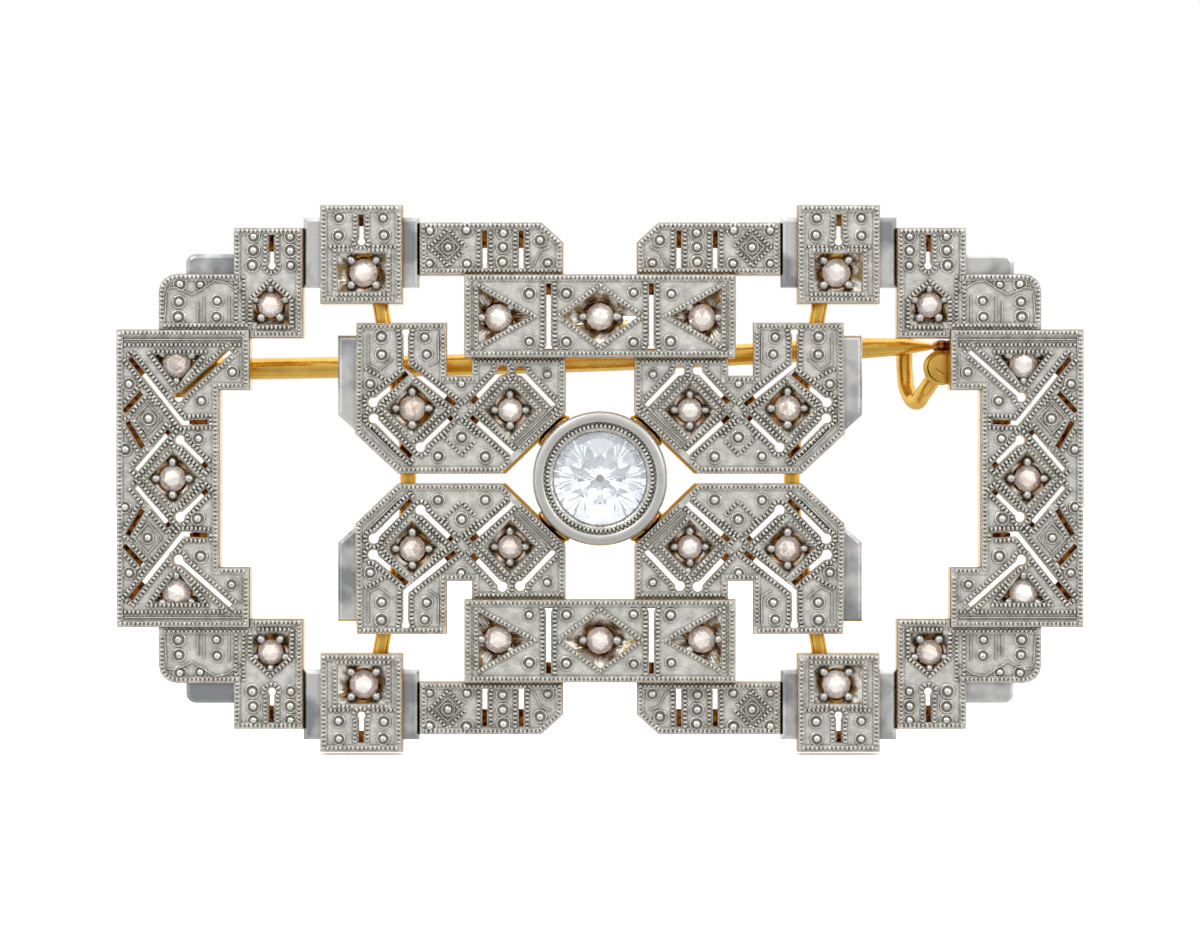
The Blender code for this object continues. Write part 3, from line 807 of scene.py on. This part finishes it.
def polished_ledge(shape, node, depth):
    """Plain polished step beside a plate, with a gold back."""
    plate_front, plate_back = node_depth(node)
    cover = front_loops(node, plate_front)[0]
    back = max(plate_back, depth - LEDGE_THICK)
    for loop in front_loops(node, depth):
        if abs(area(loop)) < LEDGE_LEAST:
            continue
        outline = tucked(loop, cover, LEDGE_TUCK)
        slab(shape, [offset(outline, -LEDGE_CROWN[-1][0])], depth, depth - 0.1, BRIGHT)
        steps = [[(*p, depth - drop) for p in offset(outline, -inset)] for inset, drop in LEDGE_CROWN]
        loft(shape, [[(*p, back) for p in outline], *steps], BRIGHT, smooth=False)
        slab(shape, [offset(outline, -0.02)], depth - 0.2, back, GOLD)


def square_blocks():
    node = "top_right_square_block"
    square = [(11.25, 9.80), (13.75, 9.80), (13.75, 11.80), (11.25, 11.80)]
    seats = [("top_right_square_rose", square, (45, 135, 225, 315))]
    domes = [(13.7, 13.65), (13.7, 12.75), (11.35, 13.65), (11.35, 12.75)]
    rows = [([(10.75, 12.15), (14.35, 12.15)], False)]
    webs = [((12.53, 14.0), (12.53, 13.25))]
    shape = plate(node, seats, rows, domes, 0.75, (), webs)
    polished_ledge(shape, node, SHOULDER_FRONT)
    quarter_plates("square_block", shape)


def slotted_blocks():
    middle = (8.01, 12.16)
    domes = [(7.05, 13.05), (8.95, 13.05), (8.95, 11.3), (7.0, 11.3), (5.1, 12.95), (5.1, 12.15),
             (5.1, 11.35), (3.15, 12.55), (2.75, 11.35), middle]
    rows = [(lozenge(middle, 0.98, 0.98), True)]
    lines = [(lozenge(middle, 0.62, 0.62), True), ([(3.5, 11.2), (3.1, 12.0), (2.6, 12.2)], False)]
    webs = [((6.07, 13.2), (6.07, 12.15)), ((4.15, 13.2), (4.15, 12.15))]
    shape = plate("top_right_slotted_block", (), rows, domes, 0.15, lines, webs)
    quarter_plates("slotted_block", shape)


def bars():
    seats = [
        ("top_bar_rose_left", [(-3.75, 8.5), (-6.35, 9.95), (-6.35, 7.05)], (40, 180, 320)),
        ("top_bar_rose_middle", lozenge((0, 8.5), 1.95, 1.45), (0, 180)),
        ("top_bar_rose_right", [(3.75, 8.5), (6.35, 9.95), (6.35, 7.05)], (0, 140, 220)),
    ]
    domes = [(s * u, v) for s in (1, -1) for u, v in ((3.72, 9.7), (3.72, 7.2), (1.75, 9.72), (1.75, 7.15))]
    webs = [((s * 2.7, 10.4), (s * 2.7, 9.65)) for s in (1, -1)]
    shape = plate("top_bar", seats, (), domes, 0.45, (), webs)
    for side, sign in (("top", 1), ("bottom", -1)):
        show(shape, f"{side}_bar", (1, sign))


def inner_plates():
    node = "top_right_inner_plate"
    seats = [
        ("top_right_outer_rose", lozenge((9.88, 3.66), 1.38, 1.42), (0, 90, 180, 270)),
        ("top_right_inner_rose", lozenge((4.73, 3.60), 1.34, 1.40), (0, 90, 180, 270)),
    ]
    domes = [(11.5, 7.43), (11.5, 6.49), (9.19, 7.43), (9.09, 6.54), (12.1, 4.95), (7.30, 5.0), (7.30, 2.15),
             (8.52, 1.15), (6.05, 1.15), (2.75, 5.5)]
    rows = [(lozenge((7.30, 2.15), 0.92, 0.92), True), ([(12.3, 5.75), (11.3, 5.2)], False)]
    lines = [([(12.25, 2.72), (10.62, 1.12), (10.3, 0.95)], False), ([(12.05, 2.86), (10.4, 1.24)], False),
             ([(2.2, 3.62), (4.3, 1.62)], False), ([(2.42, 3.80), (4.42, 1.86)], False),
             ([(12.2, 7.6), (12.2, 6.0), (11.6, 5.7), (10.9, 6.3)], False),
             ([(8.5, 7.6), (8.5, 6.2), (9.0, 5.9)], False)]
    webs = [((8.15, 4.26), (7.55, 3.80)), ((7.95, 3.05), (7.45, 3.50)), ((6.95, 3.80), (6.45, 4.30)),
            ((7.0, 3.52), (6.4, 3.0)), ((10.5, 1.70), (9.85, 1.05)), ((10.6, 5.15), (10.1, 5.6))]
    shape = plate(node, seats, rows, domes, 0.35, lines, webs)
    polished_ledge(shape, node, FLANGE_FRONT)
    front, back = node_depth(node)
    slab(shape, [CHAMFER_STRIP], front - PLATINUM_THICK, back + 0.05, GOLD)
    quarter_plates("inner_plate", shape)


# ---------------------------------------------------------------- stones


def hull_stone(node, rings, centre, base, finishes, lean):
    """Faceted stone: the convex hull of rings given as (radius, height, corners, turn).

    Facets whose unit normal points back by more than the limit take the second finish.
    """
    solid = bmesh.new()
    for radius, height, corners, turn in rings:
        for u, v in fan(centre, radius, corners, 2 * math.pi * turn / corners):
            solid.verts.new((u, v, base + height))
    hull = bmesh.ops.convex_hull(solid, input=solid.verts)
    spare = [v for v in hull["geom_interior"] if isinstance(v, bmesh.types.BMVert)]
    bmesh.ops.delete(solid, geom=spare, context="VERTS")
    bmesh.ops.recalc_face_normals(solid, faces=solid.faces)
    solid.transform(Matrix.Scale(MM, 4) @ UPRIGHT)
    name = f"{node}_fine"
    mesh = bpy.data.meshes.new(name)
    solid.to_mesh(mesh)
    solid.free()
    for finish in finishes:
        mesh.materials.append(finish)
    for face in mesh.polygons:
        face.material_index = int(face.normal.y > lean)
    settle(linked(name, mesh), node, "frame")


def rose_cuts():
    for node in sorted(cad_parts):
        if "_rose" not in node:
            continue
        centre, radius, base = stone_place(node)
        turn = rng.random()
        high = radius * rng.uniform(0.62, 0.75)
        rings = ((radius * 0.98, 0.0, ROSE_SIDES, turn), (radius, 0.06, ROSE_SIDES, turn),
                 (radius * 0.60, high * 0.74, 6, turn), (0.0, high, 1, 0))
        finish = WARM_STONE if rng.random() < WARM_SHARE else WHITE_STONE
        # Steep facets take the copy with painted shade and reflection
        hull_stone(node, rings, centre, base, (finish, STONE_EDGE_SHADE), ROSE_LEAN)


def centre_stone():
    node = "centre_diamond"
    centre, r, _ = stone_place(node)
    girdle = node_depth(node)[0] - 0.34 * r
    rings = ((0.09 * r, -0.86 * r, 8, 0), (0.42 * r, -0.53 * r, 8, 0.5), (r, -0.02 * r, 32, 0),
             (r, 0.02 * r, 32, 0), (0.74 * r, 0.22 * r, 8, 0.5), (0.50 * r, 0.34 * r, 8, 0))
    # The culet takes the brown copy of painted shade and reflection
    hull_stone(node, rings, centre, girdle, (CLEAR_STONE, CULET), CULET_LEAN)


# ---------------------------------------------------------------- bezel, rails, pin


def bezel():
    node = "centre_bezel"
    front, back = node_depth(node)
    radius = half_width(node)
    shape = Shape()
    rim = [(radius, 0.34), (radius - 0.03, 0.18), (radius - 0.11, 0.07), (3.36, 0.02), (3.04, 0.02),
           (2.97, 0.06), (2.93, 0.12)]
    well = [(2.93, 0.12), (2.90, 0.15), (2.58, 0.20), (2.44, 0.36), (2.42, 0.60), (2.44, 0.66), (2.1, 1.0)]
    outer = [(radius - 0.02, back), (radius, back + 0.1), *[(r, front - drop) for r, drop in rim]]
    inner = [*[(r, front - drop) for r, drop in well], (2.1, back), (radius - 0.02, back)]
    turned(shape, (0, 0), outer, SATIN, BEZEL_SIDES)
    turned(shape, (0, 0), inner, FROST, BEZEL_SIDES)
    for u, v, heading in row_places(fan((0, 0), BEZEL_BEAD_CIRCLE, BEZEL_SIDES)):
        grain(shape, (u, v), heading, 0.12, 0.16, 0.15, front - 0.18, FROST)
    show(shape, node)


def collet():
    """Gold collet, with grains of solder where the inner plates meet it; the middle grain of each three is
    in the gold with painted shade.
    """
    node = "centre_collet"
    front, back = node_depth(node)
    radius = half_width(node)
    shape = Shape()
    profile = [(1.9, back), (radius, back), (radius, front - 0.05), (radius - 0.08, front), (2.1, front),
               (1.9, back)]
    turned(shape, (0, 0), profile, GOLD, 72)
    for _, across_u, across_v in QUARTERS:
        # The middle grain is painted shade between its neighbours
        for degrees, finish in ((38, GOLD), (46, SHADED_GOLD), (54, GOLD)):
            angle = math.radians(degrees)
            spot = (across_u * SOLDER_CIRCLE * math.cos(angle), across_v * SOLDER_CIRCLE * math.sin(angle))
            heading = math.atan2(spot[1], spot[0])
            grain(shape, spot, heading, 0.24, 0.62, 0.5, front - 0.25, finish, 20, 6)
    show(shape, node)


def wire(name, node, body, diameter, points, shares=None):
    """Round gold wire through points in millimetres as (x, y, z).

    shares are the parts of the diameter that are left at each point, where it tapers.
    """
    curve = bpy.data.curves.new(name, "CURVE")
    curve.dimensions = "3D"
    curve.bevel_depth = diameter / 2 * MM
    curve.bevel_resolution = 7
    curve.use_fill_caps = True
    curve.resolution_u = 12
    spline = curve.splines.new("BEZIER")
    spline.bezier_points.add(len(points) - 1)
    for i, (point, place) in enumerate(zip(spline.bezier_points, points)):
        point.co = Vector(place) * MM
        point.handle_left_type = "AUTO"
        point.handle_right_type = "AUTO"
        point.radius = shares[i] if shares else 1.0
    guide = bpy.data.objects.new(name + "_guide", curve)
    mesh = bpy.data.meshes.new_from_object(guide)
    bpy.data.objects.remove(guide)
    welded = bmesh.new()
    welded.from_mesh(mesh)
    bmesh.ops.remove_doubles(welded, verts=welded.verts, dist=1e-7)
    welded.to_mesh(mesh)
    welded.free()
    mesh.materials.clear()
    mesh.materials.append(YELLOW)
    mesh.shade_smooth()
    mesh.set_sharp_from_angle(angle=math.radians(40))
    settle(linked(name, mesh), node, body)


def rails():
    for side, sign in (("left", -1), ("right", 1)):
        node = f"{side}_gallery_rail"
        low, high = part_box(node)
        y = (low.y + high.y) / 2 / MM
        path = [(sign * 11.66, y, 9.45), (sign * 10.14, y, 0), (sign * 11.66, y, -9.45)]
        wire(f"{node}_fine", node, "frame", RAIL_DIAMETER, path)


def pin_and_catch():
    # The stem's x, z and share of its diameter, from the barrel to the tip
    stations = ((-19.05, 5.85, 1.0), (-7.46, 6.08, 1.0), (4.0, 6.45, 1.0), (13.66, 6.95, 1.0),
                (16.2, 7.04, 0.80), (17.4, 7.06, 0.42), (18.25, 7.07, 0.12))
    stem = [(x, PIN_Y, z) for x, z, _ in stations]
    wire("pin_stem_fine", "pin_stem", "pin", PIN_DIAMETER, stem, [share for _, _, share in stations])
    hook = [(18.14, 0.30, 5.84), (17.72, 0.80, 5.26), (17.27, 1.45, 4.56), (16.92, 2.20, 4.10),
            (16.52, 2.90, 4.72), (16.38, 3.15, 5.90), (16.38, 3.17, 6.75), (16.42, 3.10, 7.70)]
    wire("catch_wire_fine", "catch_hook", "frame", CATCH_DIAMETER, hook)
    # The catch's foot: a collar with a cap, and the thumb piece beside it in the gold with painted shade
    foot = Shape()
    collar = [(0.55, -0.52), (0.86, -0.50), (0.95, -0.40), (0.95, -0.22), (0.90, -0.14), (0.76, -0.10)]
    cap = [(0.76, -0.10), (0.73, -0.06), (0.66, -0.045), (0.3, -0.03), (0.0, -0.03)]
    turned(foot, (18.1, 5.89), collar, GOLD, 40)
    turned(foot, (18.16, 5.90), cap, GOLD, 40)
    grain(foot, (18.15, 7.02), 0.0, 0.56, 0.34, 0.37, -0.45, SHADED_GOLD, 24, 6)
    made = foot.build("catch_foot_fine")
    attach(made, "frame")


def gold_cad_nodes():
    """Hinge parts keep their CAD shape and take the gold finish."""
    for node in ("hinge_base", "hinge_rivet", "pin_barrel"):
        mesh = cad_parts[node].data
        mesh.materials.clear()
        mesh.materials.append(YELLOW)


# ---------------------------------------------------------------- stage, light and camera


def floor():
    half, height = 1.5, cad_low.z - 0.0002
    corners = [(a * half, b * half, height) for a, b in ((-1, -1), (1, -1), (1, 1), (-1, 1))]
    mesh = bpy.data.meshes.new("floor")
    mesh.from_pydata(corners, [], [(0, 1, 2, 3)])
    made, nodes, _ = new_material("floor_white")
    shader = nodes["Principled BSDF"]
    shader.inputs["Base Color"].default_value = (0.95, 0.95, 0.95, 1.0)
    shader.inputs["Roughness"].default_value = 1.0
    shader.inputs["Specular IOR Level"].default_value = 0.0
    shader.inputs["Emission Color"].default_value = (1.0, 1.0, 1.0, 1.0)
    shader.inputs["Emission Strength"].default_value = 0.45
    mesh.materials.append(made)
    item = linked("floor", mesh)
    item.visible_glossy = False


def surroundings():
    """Light tent: white all round for the eye, graded for reflections, darker from the camera's side."""
    world = bpy.data.worlds.new("tent")
    bpy.context.scene.world = world
    world.use_nodes = True
    nodes, links = world.node_tree.nodes, world.node_tree.links
    background = nodes["Background"]
    place = nodes.new("ShaderNodeTexCoord")
    split = nodes.new("ShaderNodeSeparateXYZ")
    links.new(place.outputs["Generated"], split.inputs["Vector"])
    behind = ramp(nodes, links, to_unit(nodes, links, split.outputs["Y"]),
                  [(0.0, 0.78), (0.12, 0.92), (0.3, 1.25), (0.5, 1.3), (1.0, 1.2)])
    above = ramp(nodes, links, to_unit(nodes, links, split.outputs["Z"]),
                 [(0.0, 0.72), (0.35, 0.80), (0.5, 0.95), (0.66, 1.15), (1.0, 1.25)])
    path = nodes.new("ShaderNodeLightPath")
    choose = nodes.new("ShaderNodeMix")
    choose.data_type = "RGBA"
    links.new(path.outputs["Is Camera Ray"], choose.inputs["Factor"])
    links.new(multiplied(nodes, links, behind, above), choose.inputs["A"])
    choose.inputs["B"].default_value = (1.0, 1.0, 1.0, 1.0)
    links.new(choose.outputs["Result"], background.inputs["Color"])
    background.inputs["Strength"].default_value = 1.0


def to_unit(nodes, links, source):
    """Maps -1..1 to 0..1."""
    made = nodes.new("ShaderNodeMapRange")
    made.inputs["From Min"].default_value = -1.0
    links.new(source, made.inputs["Value"])
    return made.outputs["Result"]


def lamp(name, place, size, power):
    """Square lamp aimed at the origin."""
    light = bpy.data.lights.new(name, "AREA")
    light.size = size
    light.energy = power
    made = linked(name, light)
    made.location = place
    made.rotation_euler = (-Vector(place)).to_track_quat("-Z", "Y").to_euler()


def camera():
    """Straight on, with the plaque as large in the view as in the usual product view."""
    data = bpy.data.cameras.new("camera")
    data.sensor_width = 36.0
    data.lens = 120.0
    width = (cad_high.x - cad_low.x) / PICTURE_SHARE
    distance = width * data.lens / data.sensor_width
    data.clip_start = 0.01
    data.clip_end = 10.0
    made = linked("camera", data)
    made.location = (0.0, -distance - CAMERA_BACK, CAMERA_UP)
    made.rotation_euler = (math.pi / 2, 0, 0)
    bpy.context.scene.camera = made


end_panels()
corner_plates()
square_blocks()
slotted_blocks()
bars()
inner_plates()
rose_cuts()
centre_stone()
bezel()
collet()
rails()
pin_and_catch()
gold_cad_nodes()
floor()
surroundings()
lamp("key", (-0.22, -0.22, 0.38), 0.05, 0.45)
lamp("fill", (0.34, -0.22, 0.18), 0.05, 0.20)
camera()
bpy.context.scene.view_settings.view_transform = "Standard"
